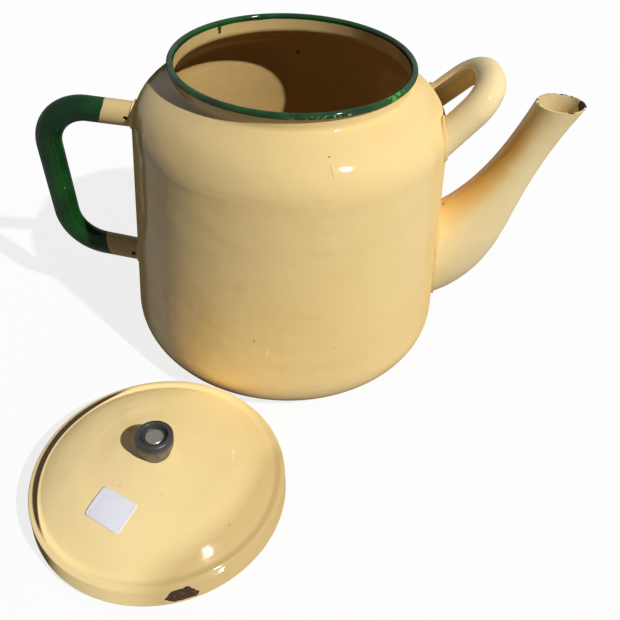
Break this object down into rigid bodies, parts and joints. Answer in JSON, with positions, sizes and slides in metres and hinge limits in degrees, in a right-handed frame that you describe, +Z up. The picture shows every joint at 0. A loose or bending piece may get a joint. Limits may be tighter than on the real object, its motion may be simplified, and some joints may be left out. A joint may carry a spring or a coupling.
{
  "type": "enamel teapot",
  "caption": "Large enamelled steel teapot: tapered round body with rolled mouth, swan-neck spout, rear D handle, loop handle over the spout, and a domed lift-off lid with a dished knob.",
  "frame": {"origin": "centre of the pot's flat base, on the table", "axes": "+Z up along the pot's axis, +X towards the spout, the D handle on -X; the lid lies on its skirt in front of the pot on -Y"},
  "size_m": [0.3875, 0.3883, 0.2266],
  "materials": {
    "cream_enamel": "glossy vitreous enamel on sheet steel",
    "green_enamel": "glossy vitreous enamel on sheet steel",
    "dark_knob": "worn dark cast metal",
    "bare_steel": "dull worn steel"
  },
  "bodies": {
    "pot": {"pot_shell": "cream_enamel", "spout": "cream_enamel", "rear_handle": "green_enamel", "loop_handle": "cream_enamel", "spout_weld": "cream_enamel", "handle_weld_upper": "cream_enamel", "handle_weld_lower": "cream_enamel", "loop_weld_near": "cream_enamel", "loop_weld_far": "cream_enamel"},
    "lid": {"lid_cover": "cream_enamel", "lid_skirt": "cream_enamel", "lid_knob": "dark_knob", "knob_rivet": "bare_steel", "knob_washer": "bare_steel"}
  },
  "joints": [
    {"name": "lid_lift", "type": "slide", "parent": "pot", "child": "lid", "axis": [0, 0, 1], "range_m": [0, 0.3]}
  ]
}
